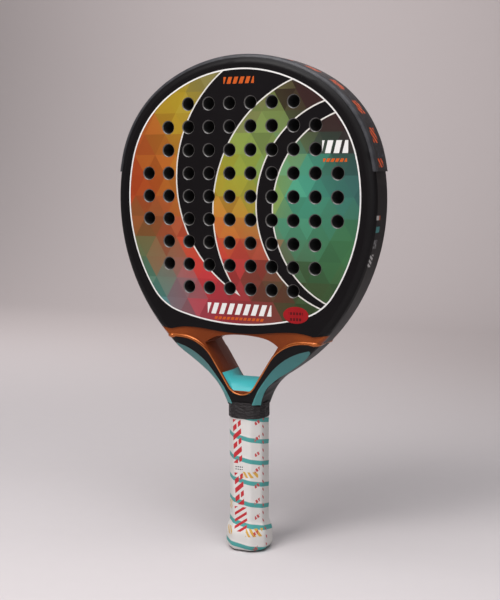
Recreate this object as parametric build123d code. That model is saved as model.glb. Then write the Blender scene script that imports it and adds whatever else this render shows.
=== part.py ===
from build123d import *

import os
from math import atan2, cos, radians, sin, tan

# Padel racket. Millimetres; +Z from the butt to the head, X across the head, Y through the
# thickness with the front face at -Y. The origin is the centre of the underside of the butt.

# Overall
LENGTH = 455.0
THICKNESS = 38.0
HALF = THICKNESS / 2

# Head outline, from the top down one side: radius and turn of each tangent arc. The throat hangs
# from the head's top too, and the handle takes up the rest of the length.
PROTECTOR_PROUD = 1.8
HEAD_TOP = LENGTH - PROTECTOR_PROUD
HEAD_ARCS = ((144.0, 32.0), (105.5, 45.0), (181.5, 49.5), (195.0, 22.0))
NECK_HALF_WIDTH = 15.5  # where the arms run out into the neck
NECK_END_Z = HEAD_TOP - 316.2
NECK_THICKNESS = 31.0
NECK_OVERLAP = 1.0  # length of straight neck below the last arc
NECK_EASE_RADIUS = 320.0  # the thickness eases from the head's to the neck's on this radius
EDGE_RADIUS = 6.5  # rounding between the faces and the side wall
EDGE_BANDS = 3  # cone bands that make up the rounding

# Frame tube
TUBE_WIDTH = 12.0
TUBE_WALL = 1.9
TUBE_VOID_FLOOR_Z = HEAD_TOP - 221.2

# Faces and core
SKIN = 1.2
SKIN_SETBACK = 7.0  # from the head's outline to the edge of the skin
SKIN_FOOT_Z = HEAD_TOP - 248.7  # height of the skin's lower edge on the centre line
SKIN_FOOT_ARCS = ((220.0, 7.8), (168.0, -7.8), (62.0, -17.0))
SKIN_FOOT_RISE = 0.1  # slope of the lower edge from the last arc out to the racket's edge
CORE_FLOOR_Z = HEAD_TOP - 235.2
CORE_FLOOR_RISE, CORE_FLOOR_REACH = 10.0, 100.0  # the floor's arc climbs this much this far from the middle

# Hole field: holes in each row, from the top down
HOLES_Z = HEAD_TOP - 124.5  # middle of the field
HOLE_ROWS = (6, 8, 8, 10, 10, 10, 8, 8, 6)
HOLE_PITCH = 20.8
HOLE_RADIUS = 5.5
HOLE_SIDES = 8  # each drilled hole is a prism inside its true circle, to keep the model light

# Throat opening: at the faces, and at the crown of its bulging wall halfway through
ARCH_Z = HEAD_TOP - 249.8
FLOOR_Z = ARCH_Z - 54.8
ARCH_ARCS = ((125.0, 10.0), (31.0, 32.0))  # radius and turn, from the middle outwards
CROWN_INSET = 1.5
CROWN_FLOOR_LIFT = 14.0
SIDE_LEAN = 32.5  # of the opening's sides from upright, in degrees
OPENING_OVERRUN = 0.5  # how far the cutter runs past each face
OPENING_STATIONS = (-1.0, -0.55, 0.0, 0.55, 1.0)  # depths of its sections, as shares of half the thickness

# Throat trims: a lining with a rounded lip, and webs that run out to the racket's edges
LINER = 1.3
LIP_TURN_RADIUS = 41.3  # of the opening's edge, where the lip swings out to the racket's edges
LIP_DROP = 4.1  # from the arch down to the crest of that turn
TRIM_DEPTH = 2.6
WEB_RECESS = 1.4
LIP_RIM = 1.8  # width of the raised rim that the recess leaves along the lip line
TIP_HALF_WIDTH = 73.0
TIP_DEPTH = 8.0
SADDLE = 3.0
SADDLE_TOP_Z = FLOOR_Z + 23.9
SADDLE_HALF_DEPTH = 17.0
SADDLE_CORNER = 7.0

# Bridge: its ends lean outwards from the opening's corners to the head's inner wall
BRIDGE_FOOT = (44.0, ARCH_Z - 16.4)
BRIDGE_TOP = (74.0, ARCH_Z + 34.6)

# Bevels of the arms, and the panels let into them
BEVEL_START = (7.3, NECK_END_Z + 2.1)
BEVEL_HEADING = 59.0  # direction of the bevel's inner edge at its lower end, in degrees
BEVEL_ARCS = ((269.0, -8.0), (65.5, -51.0))
BEVEL_SLOPE = 42.0
BEVEL_DEPTH = 16.0
PANEL = 1.0
PANEL_MARGIN = 0.5  # from the bevel's inner edge to the panel
PANEL_FOOT_Z = NECK_END_Z + 1.5
PANEL_CLEARANCE = 0.2  # between a panel and the saddle's or the trim's own region
BEVEL_RUN_DOWN, BEVEL_RUN_OUT = 40.0, 60.0  # the bevel's inner edge runs straight on past its arcs

# Edge protector and its tape
PROTECTOR_FOOT_Z = HEAD_TOP - 102.2
PROTECTOR_HALF_DEPTH = 16.4
PROTECTOR_RADIUS = 3.0
PROTECTOR_BANDS = 2
TAPE = 0.4
TAPE_HALF_DEPTH = 11.0
TAPE_SETBACK = 4.0

# Handle, from the outside in
GRIP_WIDTH, GRIP_THICKNESS = 34.0, 33.0
GRIP_CHAMFER, GRIP_CORNER = 8.5, 3.0
OVERGRIP, BASE_GRIP = 0.9, 1.8
GRIP_TOP_Z = NECK_END_Z - 1.0
FLARE = 3.5
BUTT_PROFILE = ((30.0, 0.0), (25.0, 0.9), (20.0, 2.7), (15.0, FLARE), (6.5, FLARE), (2.0, 1.6), (0.0, -2.6))
WRAP_FOOT_Z = 1.0
CAP_FLOOR = 6.0
CAP_TOP_Z = 32.0
CAP_SKIRT = 0.7
CORD_HOLE_RADIUS = 3.5
PALLET_FOOT_Z = 8.0
LEG_WIDTH, LEG_THICKNESS, LEG_GAP = 9.2, 19.0, 3.2
LEG_CORNER = 4.0
LEG_FOOT_Z = 26.0
LEG_WALL = 1.8
STAPLE_WIRE, STAPLE_CROWN, STAPLE_REACH, STAPLE_Z = 1.0, 7.0, 5.6, 11.0
COLLAR_FOOT_Z, COLLAR_TOP_Z = GRIP_TOP_Z - 10.7, GRIP_TOP_Z + 4.2
COLLAR_WALL, COLLAR_EDGE = 1.2, 0.7
FINISHING_TAPE = 0.25
FINISHING_TAPE_Z = (GRIP_TOP_Z - 8.5, GRIP_TOP_Z - 1.5)

# Sticker on the front face
STICKER_CENTRE = (54.8, HEAD_TOP - 229.0)
STICKER_RADII = (12.2, 7.6)
STICKER = 0.2

FAR = 300.0


def chain(start, heading, arcs):
    """Tangent arcs one after another from (radius, turn) pairs; a turn to the left is positive."""
    edges = []
    at, along = Vector(*start), Vector(cos(radians(heading)), sin(radians(heading)))
    for radius, turn in arcs:
        edges.append(JernArc(at, along, radius, turn))
        at, along = edges[-1] @ 1, edges[-1] % 1
    return edges


def run_on(edges, *points):
    """Adds straight lines from the end of the last edge through the points."""
    at = edges[-1] @ 1
    for point in points:
        edges.append(Line(at, Vector(*point)))
        at = Vector(*point)
    return edges


def symmetric(edges):
    """Face between a right-hand boundary that starts and ends on the centre line and its mirror."""
    return make_face(edges + [edge.mirror(Plane.YZ) for edge in edges])


def slab(profile, low, high):
    """Solid over a front-view profile, between two depths."""
    return extrude(Plane.XZ.offset(-high) * profile, amount=high - low)


def both_ways(solid):
    """The solid and its mirror image on the rear side."""
    return solid + mirror(solid, Plane.XZ)


def above(height):
    """Front-view profile of everything above a height."""
    return Pos(0, height + FAR) * Rectangle(2 * FAR, 2 * FAR)


def racket_outline(growth=0.0):
    """Front view of the racket above the handle, grown or shrunk as a parallel outline."""
    arcs = chain((0, HEAD_TOP + growth), 0, [(radius + growth, -turn) for radius, turn in HEAD_ARCS])
    lean = sum(turn for _, turn in HEAD_ARCS) - 90
    half_width = NECK_HALF_WIDTH + growth
    radius = ((arcs[-1] @ 1).X - half_width) / (1 - cos(radians(lean)))
    arcs += chain(arcs[-1] @ 1, -90 - lean, [(radius, lean)])
    foot = (arcs[-1] @ 1).Y - NECK_OVERLAP
    return symmetric(run_on(arcs, (half_width, foot), (0, foot)))


def thickness_profile():
    """Side view of the frame: parallel at the head, eased to the neck's thickness."""
    drop = (THICKNESS - NECK_THICKNESS) / 2
    reach = (2 * NECK_EASE_RADIUS * drop - drop**2) ** 0.5
    start = NECK_END_Z + reach
    ease = ThreePointArc(
        (HALF, start),
        (HALF - NECK_EASE_RADIUS * (1 - (1 - (reach / 2 / NECK_EASE_RADIUS) ** 2) ** 0.5), start - reach / 2),
        (HALF - drop, NECK_END_Z),
    )
    side = [Line((0, LENGTH), (HALF, LENGTH)), Line((HALF, LENGTH), (HALF, start)), ease]
    return symmetric(run_on(side, (0, NECK_END_Z)))


def skin_region(setback):
    """Front-view region of a face skin: the head set back from its edge, down to the throat."""
    foot = chain((0, SKIN_FOOT_Z), 0, SKIN_FOOT_ARCS)
    end = foot[-1] @ 1
    corner = (FAR, end.Y + SKIN_FOOT_RISE * (FAR - end.X))
    upper = symmetric(run_on(foot, corner, (FAR, FAR * 2), (0, FAR * 2)))
    return offset(OUTLINE, -setback) & upper if setback else upper


def core_region():
    """Front-view region of the core: inside the tube, above a gently curved floor."""
    end = (CORE_FLOOR_REACH, CORE_FLOOR_Z + CORE_FLOOR_RISE)
    floor = ThreePointArc((-end[0], end[1]), (0, CORE_FLOOR_Z), end)
    walls = Polyline(end, (end[0], 2 * FAR), (-end[0], 2 * FAR), floor @ 0)
    upper = make_face([floor, *walls.edges()])
    return offset(OUTLINE, -TUBE_WIDTH) & (upper + above(end[1]))


def arch():
    """Upper edge of the opening's right half, from the centre line outwards."""
    return chain((0, ARCH_Z), 0, [(radius, -turn) for radius, turn in ARCH_ARCS])


def opening_side():
    """Upper and lower ends of the opening's right side, and the radius of its round bottom."""
    lean = radians(SIDE_LEAN)
    top = arch()[-1] @ 1
    radius = (top.X * cos(lean) - (top.Y - FLOOR_Z) * sin(lean)) / (1 - sin(lean))
    foot = Vector(radius * cos(lean), FLOOR_Z + radius * (1 - sin(lean)))
    return top, foot, radius


def opening_section(growth):
    """Front view of the throat opening, grown or shrunk: an arched top, leaning sides, a round bottom."""
    top, foot, radius = opening_side()
    bottom = JernArc(foot, foot - top, radius, SIDE_LEAN - 90)
    return offset(symmetric([*arch(), Line(top, foot), bottom]), growth, kind=Kind.INTERSECTION)


def opening(growth):
    """Cutter for the throat opening: its walls bulge inwards, its floor more than its sides."""
    reach = HALF + OPENING_OVERRUN
    sections, floor = [], []
    for station in OPENING_STATIONS:
        bulge = 1 - station**2
        sections.append(Plane.XZ.offset(station * reach) * opening_section(growth - bulge * CROWN_INSET))
        floor.append((station * reach, FLOOR_Z - growth + bulge * CROWN_FLOOR_LIFT))
    hourglass = loft(sections, ruled=True)
    outline = Polyline(*floor, (reach, LENGTH), (-reach, LENGTH), close=True)
    return hourglass & extrude(Plane.YZ * make_face(outline.edges()), amount=FAR, both=True)


def lip_region(width):
    """Inside of the lip line: round below the opening, up its sides, then out to the racket's edges."""
    lean = radians(SIDE_LEAN)
    top, _, radius = opening_side()
    turn_z = ARCH_Z - LIP_DROP - LIP_TURN_RADIUS * (1 - sin(lean))
    turn_in = Vector(top.X - (top.Y - turn_z) * tan(lean), turn_z)
    edges = chain((0, FLOOR_Z - width), 0, [(radius + width, 90 - SIDE_LEAN)])
    edges = run_on(edges, turn_in + Vector(cos(lean), -sin(lean)) * width)
    edges += chain(edges[-1] @ 1, 90 - SIDE_LEAN, [(LIP_TURN_RADIUS - width, SIDE_LEAN - 90)])
    end = edges[-1] @ 1
    return symmetric(run_on(edges, (FAR, end.Y), (FAR, LENGTH), (0, LENGTH)))


def bevel_region():
    """Outside of the bevel's inner edge on the right arm."""
    curve = chain(BEVEL_START, BEVEL_HEADING, BEVEL_ARCS)
    foot = curve[0] @ 0 - (curve[0] % 0) * BEVEL_RUN_DOWN
    end = curve[-1] @ 1 + (curve[-1] % 1) * BEVEL_RUN_OUT
    edges = [Line(foot, curve[0] @ 0), *curve]
    return make_face(run_on(edges, end, (FAR, foot.Y), foot))


def bevel():
    """Cutter of the right arm's front bevel: its wall falls away outwards at a constant slope."""
    recede = 1 / tan(radians(BEVEL_SLOPE))
    region = bevel_region()
    outer = offset(region, recede, kind=Kind.INTERSECTION)
    inner = offset(region, -BEVEL_DEPTH * recede, kind=Kind.INTERSECTION)
    return loft([Plane.XZ.offset(HALF + 1) * outer, Plane.XZ.offset(HALF - BEVEL_DEPTH) * inner], ruled=True)


def four_ways(solid):
    """The solid on both arms, front and rear."""
    return {
        "front_right": solid,
        "front_left": mirror(solid, Plane.YZ),
        "rear_right": mirror(solid, Plane.XZ),
        "rear_left": mirror(mirror(solid, Plane.YZ), Plane.XZ),
    }


def hole_field():
    """The drilled pattern: a square grid with its corners left off."""
    middle = (len(HOLE_ROWS) - 1) / 2
    return Sketch() + [
        Pos((column - (count - 1) / 2) * HOLE_PITCH, HOLES_Z + (middle - row) * HOLE_PITCH)
        * RegularPolygon(HOLE_RADIUS, HOLE_SIDES)
        for row, count in enumerate(HOLE_ROWS)
        for column in range(count)
    ]


def grip_section(growth):
    """Section of the handle, an octagon with its corners taken off, grown or shrunk in parallel."""
    octagon = Rectangle(GRIP_WIDTH, GRIP_THICKNESS)
    for corner in (GRIP_CHAMFER, GRIP_CORNER):
        octagon = chamfer(octagon.vertices(), corner)
    return offset(octagon, growth, kind=Kind.INTERSECTION)


def stack(levels):
    """Solid with flat walls through sections of the handle, from (height, growth) pairs."""
    rings = []
    for height, growth in levels:
        corners = sorted(grip_section(growth).vertices(), key=lambda corner: atan2(corner.Y, corner.X))
        rings.append([Vector(corner.X, corner.Y, height) for corner in corners])
    walls = [rings[0], rings[-1]]
    for lower, upper in zip(rings, rings[1:]):
        for i in range(len(lower)):
            walls.append([lower[i - 1], lower[i], upper[i], upper[i - 1]])
    return Solid(Shell([Face(Wire.make_polygon(wall)) for wall in walls]))


def grip_solid(growth, foot, top):
    """Handle layer from its foot to its top, flared at the butt and drawn in under it."""
    layer = stack([(height, growth + flare) for height, flare in ((GRIP_TOP_Z, 0.0), *BUTT_PROFILE)])
    return layer & box((-FAR, FAR), (-FAR, FAR), (foot, top))


def box(x, y, z):
    """Box over three (low, high) ranges."""
    centre = [(low + high) / 2 for low, high in (x, y, z)]
    return Pos(*centre) * Box(*(high - low for low, high in (x, y, z)))


def leg_profile():
    """Section of the two legs of the frame side by side, with the gap between them filled."""
    return fillet(Rectangle(LEG_GAP + 2 * LEG_WIDTH, LEG_THICKNESS).vertices(), LEG_CORNER)


def rounded_form(growth, half_depth, radius, bands):
    """The outline grown and given a thickness, its edges rounded in a few conical bands."""
    turns = [radians(90 * band / bands) for band in range(bands + 1)]
    rim = [(growth - radius * (1 - cos(turn)), half_depth - radius * (1 - sin(turn))) for turn in turns]
    rim = [(inset, -depth) for inset, depth in reversed(rim)] + rim
    return loft([Plane.XZ.offset(-depth) * racket_outline(inset) for inset, depth in rim], ruled=True)


def outer_form():
    """The racket's outer form above the handle, with bevelled arms and no throat opening."""
    blank = rounded_form(0, HALF, EDGE_RADIUS, EDGE_BANDS)
    blank &= extrude(Plane.YZ * thickness_profile(), amount=FAR, both=True)
    for cutter in four_ways(bevel()).values():
        blank -= cutter
    return blank


def frame_and_trims():
    """Everything cut from the racket's outer form: frame, bridge, trims, saddle and panels."""
    everywhere = Rectangle(2 * FAR, 4 * FAR)
    blank = FORM

    # Throat lining, lip and webs, front half; the saddle replaces its lowest part
    hole = opening(0)
    below_skin = everywhere - skin_region(0)
    web = lip_region(LINER) & below_skin
    recess = slab(offset(lip_region(LINER), -LIP_RIM) & below_skin, -HALF - 1, -HALF + WEB_RECESS)
    trim = slab(web, -HALF, -HALF + TRIM_DEPTH)
    trim += slab(web - Rectangle(2 * TIP_HALF_WIDTH, 4 * FAR), -HALF, -HALF + TIP_DEPTH)
    trim += (opening(LINER) - hole) & slab(everywhere, -HALF, 0)
    trim = (trim & blank) - hole - recess
    seat = fillet(Rectangle(2 * SADDLE_HALF_DEPTH, 2 * SADDLE_TOP_Z).vertices(), SADDLE_CORNER)
    seat = extrude(Plane.YZ * seat, amount=FAR, both=True)
    saddle = (opening(SADDLE) - hole) & seat
    skins = both_ways(slab(skin_region(SKIN_SETBACK), -HALF, -HALF + SKIN))
    trim -= seat + skins

    # The bridge closes the head above the opening, between the arms
    side = run_on([Line((0, BRIDGE_FOOT[1]), BRIDGE_FOOT)], BRIDGE_TOP, (0, BRIDGE_TOP[1]))
    bridge_space = slab(symmetric(side), -HALF, HALF)

    panels = {}
    for name, cutter in four_ways(bevel()).items():
        away = -PANEL if name.startswith("rear") else PANEL
        panels[name] = cutter.moved(Location((0, away, 0))) & blank
    region = offset(bevel_region(), -PANEL_MARGIN) & above(PANEL_FOOT_Z)
    region -= lip_region(SADDLE + PANEL_CLEARANCE)
    region = both_ways(slab(region, -HALF, 0))
    region += mirror(region, Plane.YZ)
    panels = {name: panel & region for name, panel in panels.items()}

    body = blank - hole - both_ways(trim) - saddle - slab(core_region(), -HALF, HALF)
    body -= skins + both_ways(recess)
    for panel in panels.values():
        body -= panel
    parts = {
        "throat_bridge": body & bridge_space,
        "front_throat_trim": trim,
        "rear_throat_trim": mirror(trim, Plane.XZ),
        "saddle_damper": saddle & blank,
    }
    for name, panel in panels.items():
        parts[f"{name}_arm_panel"] = panel
    void = offset(OUTLINE, -TUBE_WALL) - offset(OUTLINE, TUBE_WALL - TUBE_WIDTH)
    void = slab(void & above(TUBE_VOID_FLOOR_Z), SKIN + TUBE_WALL - HALF, HALF - SKIN - TUBE_WALL)
    legs = leg_profile() - Rectangle(LEG_GAP, LEG_THICKNESS)
    tubes = extrude(Pos(0, 0, LEG_FOOT_Z) * legs, amount=NECK_END_Z - LEG_FOOT_Z)
    bores = Sketch() + [offset(leg.face(), -LEG_WALL) for leg in legs.faces()]
    tubes -= extrude(Pos(0, 0, LEG_FOOT_Z) * bores, amount=NECK_END_Z - LEG_FOOT_Z - LEG_WALL)
    parts["frame_tube"] = body - bridge_space - void + tubes
    return parts


def head_fill():
    """Foam core and the two skins, drilled together."""
    drilled = slab(HOLES, -HALF, HALF)
    skin = slab(skin_region(SKIN_SETBACK) - HOLES, -HALF, -HALF + SKIN)
    core = slab(core_region() - HOLES, -HALF + SKIN, HALF - SKIN)
    return {"head_core": core, "front_face": skin, "rear_face": mirror(skin, Plane.XZ)}


def protector():
    """Bumper strip round the top of the head, on its adhesive tape."""
    strip = rounded_form(PROTECTOR_PROUD, PROTECTOR_HALF_DEPTH, PROTECTOR_RADIUS, PROTECTOR_BANDS)
    strip &= slab(above(PROTECTOR_FOOT_Z), -HALF, HALF)
    tape = (offset(OUTLINE, TAPE) - OUTLINE) & above(PROTECTOR_FOOT_Z + TAPE_SETBACK)
    tape = slab(tape, -TAPE_HALF_DEPTH, TAPE_HALF_DEPTH)
    return {"edge_protector": strip - FORM - tape, "protector_tape": tape}


def handle():
    """Everything below the neck, apart from the frame's own legs."""
    cover = OVERGRIP + BASE_GRIP
    skirt = GRIP_WIDTH / 2 + FLARE - cover

    # Two-legged staples hold the cap's skirt to the pallets on either side
    crown = (-STAPLE_CROWN / 2, STAPLE_CROWN / 2)
    wire = (STAPLE_Z, STAPLE_Z + STAPLE_WIRE)
    staple = box((skirt - STAPLE_REACH, skirt), crown, wire)
    staple -= box((0, skirt - STAPLE_WIRE), (crown[0] + STAPLE_WIRE, crown[1] - STAPLE_WIRE), wire)
    staples = staple + mirror(staple, Plane.YZ)

    # Pallets: two moulded halves about the legs, necked down where the cap's skirt fits over them
    shaft = grip_section(-cover - CAP_SKIRT), grip_section(-cover)
    core = extrude(Pos(0, 0, PALLET_FOOT_Z) * shaft[0], amount=NECK_END_Z - PALLET_FOOT_Z)
    core += extrude(Pos(0, 0, CAP_TOP_Z) * shaft[1], amount=NECK_END_Z - CAP_TOP_Z)
    pallet = core - extrude(leg_profile(), amount=NECK_END_Z) - staples
    front = pallet & box((-FAR, FAR), (-FAR, 0), (0, LENGTH))

    spacer = Pos(0, 0, LEG_FOOT_Z) * Rectangle(LEG_GAP, LEG_THICKNESS)
    cap = grip_solid(-cover, 0, CAP_TOP_Z)
    cap -= extrude(Pos(0, 0, CAP_FLOOR) * shaft[0], amount=CAP_TOP_Z)
    cap -= Pos(0, 0, CAP_FLOOR / 2) * Cylinder(CORD_HOLE_RADIUS, CAP_FLOOR)
    cap -= staples

    outer = grip_solid(0, WRAP_FOOT_Z, GRIP_TOP_Z)
    middle = grip_solid(-OVERGRIP, WRAP_FOOT_Z, GRIP_TOP_Z)
    inner = grip_solid(-cover, 0, GRIP_TOP_Z)
    low, high = FINISHING_TAPE_Z
    tape = extrude(Pos(0, 0, low) * (grip_section(FINISHING_TAPE) - grip_section(0)), amount=high - low)
    edge = COLLAR_WALL - COLLAR_EDGE
    collar = stack([
        (COLLAR_FOOT_Z, edge),
        (COLLAR_FOOT_Z + COLLAR_EDGE, COLLAR_WALL),
        (COLLAR_TOP_Z - COLLAR_EDGE, COLLAR_WALL),
        (COLLAR_TOP_Z, edge),
    ])
    return {
        "leg_spacer": extrude(spacer, amount=NECK_END_Z - LEG_FOOT_Z),
        "cap_staples": staples,
        "front_pallet": front,
        "rear_pallet": pallet - front,
        "butt_cap": cap,
        "base_grip": middle - inner,
        "overgrip": outer - middle,
        "finishing_tape": tape,
        "grip_collar": collar - outer - tape - core - FORM,
    }


def sticker():
    oval = Pos(*STICKER_CENTRE) * Ellipse(*STICKER_RADII)
    return {"face_sticker": slab(oval, -HALF - STICKER, -HALF)}


OUTLINE = racket_outline()
HOLES = hole_field()
FORM = outer_form()

os.makedirs("parts", exist_ok=True)
for name, part in {**frame_and_trims(), **head_fill(), **protector(), **handle(), **sticker()}.items():
    print(name, round(part.volume), len(part.solids()), part.is_valid)
    export_step(part, f"parts/{name}.step")
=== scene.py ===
"""Padel racket: its looks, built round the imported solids. Metres, in the solids' own frame."""

import logging
from collections.abc import Callable, Iterator, Sequence
from contextlib import contextmanager
from dataclasses import dataclass
from enum import Enum
from math import cos, pi, radians, sin, tau

import bpy
from mathutils import Euler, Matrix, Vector


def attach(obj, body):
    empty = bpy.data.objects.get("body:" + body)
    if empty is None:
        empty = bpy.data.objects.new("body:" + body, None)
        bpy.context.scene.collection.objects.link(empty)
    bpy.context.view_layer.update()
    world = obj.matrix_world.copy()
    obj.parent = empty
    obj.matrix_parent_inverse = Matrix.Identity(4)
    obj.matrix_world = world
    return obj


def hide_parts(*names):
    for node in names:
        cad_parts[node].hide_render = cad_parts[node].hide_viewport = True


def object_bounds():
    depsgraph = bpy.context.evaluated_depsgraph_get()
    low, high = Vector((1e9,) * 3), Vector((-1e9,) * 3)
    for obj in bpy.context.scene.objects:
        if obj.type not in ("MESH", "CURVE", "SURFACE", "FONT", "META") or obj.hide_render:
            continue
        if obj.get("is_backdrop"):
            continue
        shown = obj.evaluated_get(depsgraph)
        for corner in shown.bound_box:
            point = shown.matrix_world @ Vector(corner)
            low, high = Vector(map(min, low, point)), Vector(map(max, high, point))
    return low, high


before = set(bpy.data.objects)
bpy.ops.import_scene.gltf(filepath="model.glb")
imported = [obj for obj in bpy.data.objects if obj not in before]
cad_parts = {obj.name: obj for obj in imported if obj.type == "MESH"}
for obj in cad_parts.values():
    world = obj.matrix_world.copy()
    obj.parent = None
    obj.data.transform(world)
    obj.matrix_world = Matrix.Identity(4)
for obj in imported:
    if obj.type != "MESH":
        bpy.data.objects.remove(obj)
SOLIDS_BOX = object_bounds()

log = logging.getLogger("padel_racket")

MM = 0.001
FACE_Z = 328.7  # height of the faces' middle above the butt, in mm
Colour = tuple[float, float, float]


class Side(Enum):
    """The two faces of the racket; the front looks along -Y."""

    FRONT = -1
    REAR = 1

    @property
    def word(self) -> str:
        """The side's word in the names of nodes and pieces."""
        return self.name.lower()


def placed(name: str, data: bpy.types.ID) -> bpy.types.Object:
    """A new object in the scene for a mesh, curve, light or camera.

    Args:
        name: its name.
        data: the mesh, curve, light or camera.

    Returns:
        The object.
    """
    obj = bpy.data.objects.new(name, data)
    bpy.context.scene.collection.objects.link(obj)
    return obj


# ---------------------------------------------------------------- shader maths


class Sock:
    """A node socket that works in arithmetic, so that a mask or a ramp reads as a formula."""

    def __init__(self, shader: "Shader", socket: bpy.types.NodeSocket) -> None:
        """Wraps a socket of a shader's tree."""
        self.shader, self.socket = shader, socket

    def __add__(self, other: "Term") -> "Sock":
        """self + other."""
        return self.shader.maths("ADD", self, other)

    __radd__ = __add__

    def __sub__(self, other: "Term") -> "Sock":
        """self - other."""
        return self.shader.maths("SUBTRACT", self, other)

    def __rsub__(self, other: "Term") -> "Sock":
        """other - self."""
        return self.shader.maths("SUBTRACT", other, self)

    def __mul__(self, other: "Term") -> "Sock":
        """self * other."""
        return self.shader.maths("MULTIPLY", self, other)

    __rmul__ = __mul__

    def __truediv__(self, other: "Term") -> "Sock":
        """self / other."""
        return self.shader.maths("DIVIDE", self, other)

    def __mod__(self, other: "Term") -> "Sock":
        """self modulo other, never negative."""
        return self.shader.maths("FLOORED_MODULO", self, other)

    def __abs__(self) -> "Sock":
        """Absolute value."""
        return self.shader.maths("ABSOLUTE", self)

    def __lt__(self, other: "Term") -> "Sock":
        """1 where self is below other."""
        return self.shader.maths("LESS_THAN", self, other)

    def __gt__(self, other: "Term") -> "Sock":
        """1 where self is above other."""
        return self.shader.maths("GREATER_THAN", self, other)

    def __and__(self, other: "Term") -> "Sock":
        """Both masks."""
        return self.shader.maths("MINIMUM", self, other)

    def __or__(self, other: "Term") -> "Sock":
        """Either mask."""
        return self.shader.maths("MAXIMUM", self, other)

    def __invert__(self) -> "Sock":
        """The rest of a mask."""
        return 1 - self

    def within(self, low: float, high: float) -> "Sock":
        """1 where self lies between two numbers."""
        return (self > low) & (self < high)

    def floor(self) -> "Sock":
        """Whole part."""
        return self.shader.maths("FLOOR", self)

    def root(self) -> "Sock":
        """Square root."""
        return self.shader.maths("SQRT", self)

    def ease(self, low: float, high: float) -> "Sock":
        """0 at low to 1 at high, smoothly."""
        return self.shader.node(
            "ShaderNodeMapRange",
            {"interpolation_type": "SMOOTHSTEP"},
            {"Value": self, "From Min": low, "From Max": high},
        )


Term = Sock | float


class Shader:
    """One material's node tree under a Principled BSDF."""

    def __init__(self, name: str) -> None:
        """Starts an empty material of that name.

        Args:
            name: the material's name.
        """
        self.material = bpy.data.materials.new(name)
        self.material.use_nodes = True
        self.tree = self.material.node_tree
        self.tree.nodes.clear()
        self.surface = self.tree.nodes.new("ShaderNodeBsdfPrincipled")
        output = self.tree.nodes.new("ShaderNodeOutputMaterial")
        self.tree.links.new(self.surface.outputs[0], output.inputs[0])

    def node(
        self,
        kind: str,
        settings: dict[str, object] | None = None,
        values: dict[str | int, object] | None = None,
        output: str | int = 0,
    ) -> Sock:
        """Makes any node.

        Args:
            kind: the node's type.
            settings: its own properties, set before its sockets; "stops" fills a ramp.
            values: numbers, colours or links for its sockets.
            output: the socket handed back.

        Returns:
            The wanted output.
        """
        made = self.tree.nodes.new(kind)
        for key, setting in (settings or {}).items():
            if key == "stops":
                ramp = made.color_ramp
                while len(ramp.elements) < len(setting):
                    ramp.elements.new(0.5)
                for element, (at, colour) in zip(ramp.elements, setting):
                    element.position, element.color = at, (*colour, 1)
            else:
                setattr(made, key, setting)
        for key, value in (values or {}).items():
            if isinstance(value, Sock):
                self.tree.links.new(value.socket, made.inputs[key])
            elif isinstance(value, tuple) and len(value) == 3 and made.inputs[key].type == "RGBA":
                made.inputs[key].default_value = (*value, 1)
            else:
                made.inputs[key].default_value = value
        return Sock(self, made.outputs[output])

    def maths(self, operation: str, *terms: Term) -> Sock:
        """A Math node over its terms."""
        return self.node("ShaderNodeMath", {"operation": operation}, dict(enumerate(terms)))

    def mix(self, factor: Term, first: "Sock | Colour", second: "Sock | Colour", blend: str = "MIX") -> Sock:
        """Blends two colours.

        Args:
            factor: 0 for the first, 1 for the second.
            first: colour or link.
            second: colour or link.
            blend: how they are combined.

        Returns:
            The blended colour.
        """
        settings = {"data_type": "RGBA", "blend_type": blend}
        return self.node("ShaderNodeMix", settings, {0: factor, 6: first, 7: second}, 2)

    def coords(self, output: str = "Object") -> Sock:
        """Coordinates of the surface."""
        return self.node("ShaderNodeTexCoord", output=output)

    def axes(self, vector: Sock | None = None) -> tuple[Sock, Sock, Sock]:
        """The three parts of a vector in millimetres; of the object's coordinates by default.

        Args:
            vector: the vector, or none for the object's coordinates.

        Returns:
            Its x, y and z.
        """
        source = vector or self.coords()
        parts = [self.node("ShaderNodeSeparateXYZ", values={0: source}, output=i) for i in range(3)]
        return tuple(part / MM for part in parts)

    def noise(self, scale: float, detail: float, vector: Sock | None = None) -> Sock:
        """Soft noise from 0 to 1, in features per metre."""
        values = {"Vector": vector or self.coords(), "Scale": scale, "Detail": detail}
        return self.node("ShaderNodeTexNoise", values=values)

    def bump(self, height: Sock, distance: float) -> None:
        """Raises the surface's normal by a height, distance deep in metres."""
        self.feed("Normal", self.node("ShaderNodeBump", values={"Height": height, "Distance": distance}))

    def feed(self, name: str, value: "Sock | Colour | float") -> None:
        """Sets one of the surface's sockets.

        Args:
            name: the socket.
            value: a link, or a colour or number that is the same all over.
        """
        socket = self.surface.inputs[name]
        if isinstance(value, Sock):
            self.tree.links.new(value.socket, socket)
        elif isinstance(value, tuple):
            socket.default_value = (*value, 1)
        else:
            socket.default_value = value


# ---------------------------------------------------------------- finishes


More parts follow.
